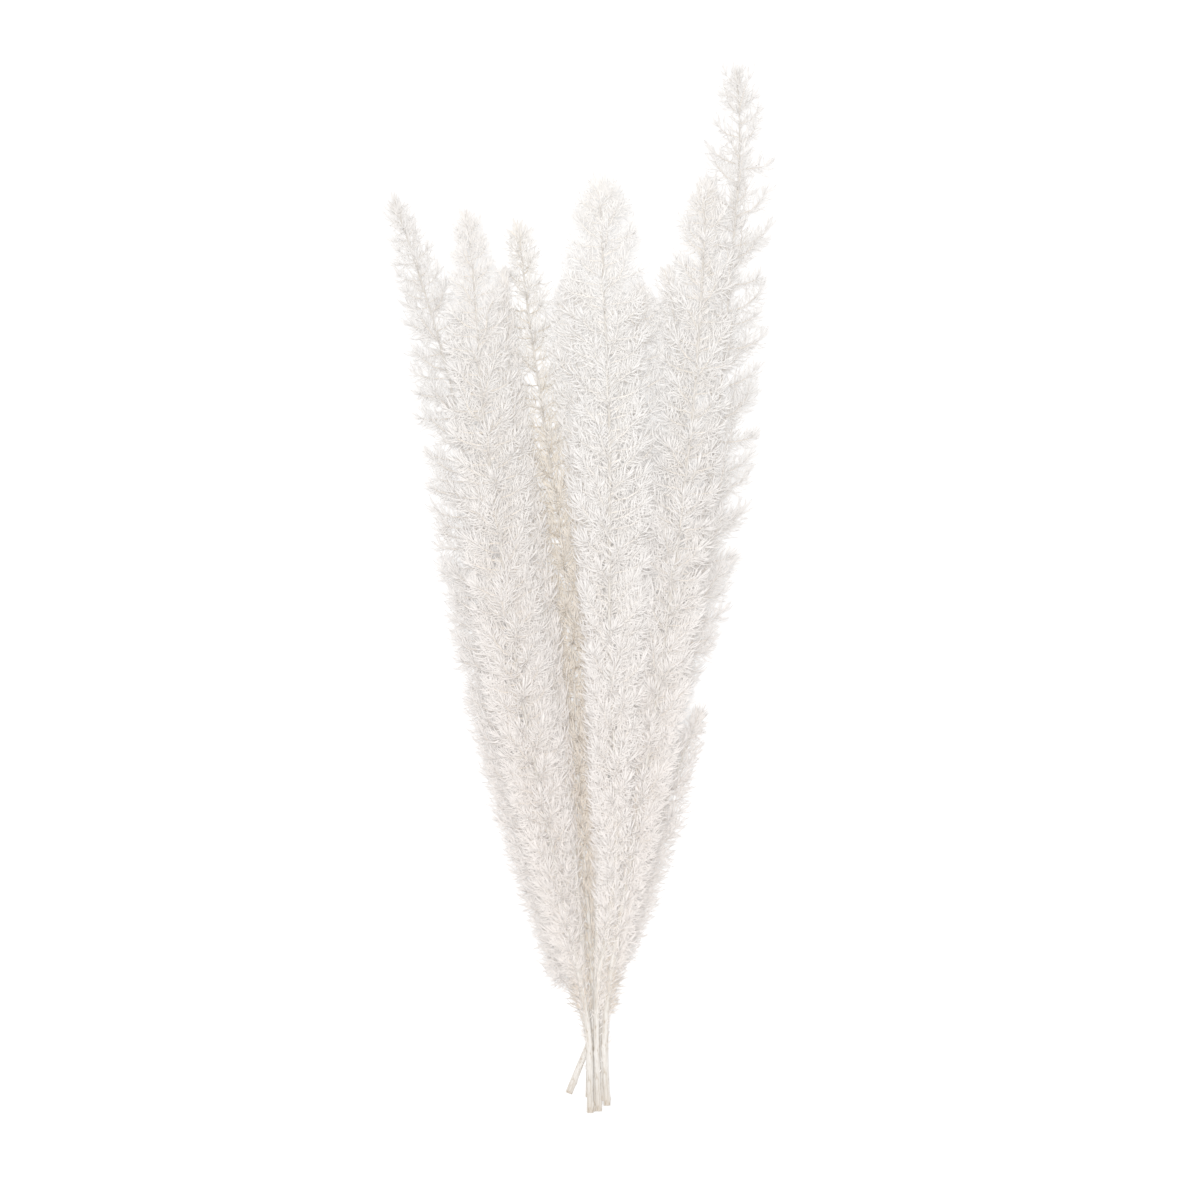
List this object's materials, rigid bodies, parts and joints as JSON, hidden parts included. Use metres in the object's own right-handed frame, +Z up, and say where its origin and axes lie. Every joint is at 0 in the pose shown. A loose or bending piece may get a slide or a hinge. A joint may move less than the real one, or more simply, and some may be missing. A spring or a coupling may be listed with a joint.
{
  "type": "bundle of dried foxtail fern plumes",
  "caption": "Fanned bundle of dried, bleached foxtail fern plumes lying on its side, with dense needle foliage and bare stems gathered at the cut ends.",
  "frame": {"origin": "middle of the bundle's box, on the surface that it lies on", "axes": "+Y along the bundle from the cut ends to the tips, +Z up from the surface, +X to the right with the tips pointing away"},
  "size_m": [0.2354, 0.651, 0.0872],
  "materials": {
    "foliage": "matte",
    "stem": "matte"
  },
  "bodies": {
    "root": {"stem_far_left": "stem", "foliage_far_left": "foliage", "stem_left_front": "stem", "foliage_left_front": "foliage", "stem_left_inner": "stem", "foliage_left_inner": "foliage", "stem_middle_low": "stem", "foliage_middle_low": "foliage", "stem_centre_left": "stem", "foliage_centre_left": "foliage", "stem_centre_front": "stem", "foliage_centre_front": "foliage", "stem_centre_right": "stem", "foliage_centre_right": "foliage", "stem_right_low": "stem", "foliage_right_low": "foliage", "stem_right_front": "stem", "foliage_right_front": "foliage", "stem_far_right": "stem", "foliage_far_right": "foliage", "stem_short_right": "stem", "foliage_short_right": "foliage"}
  },
  "joints": []
}
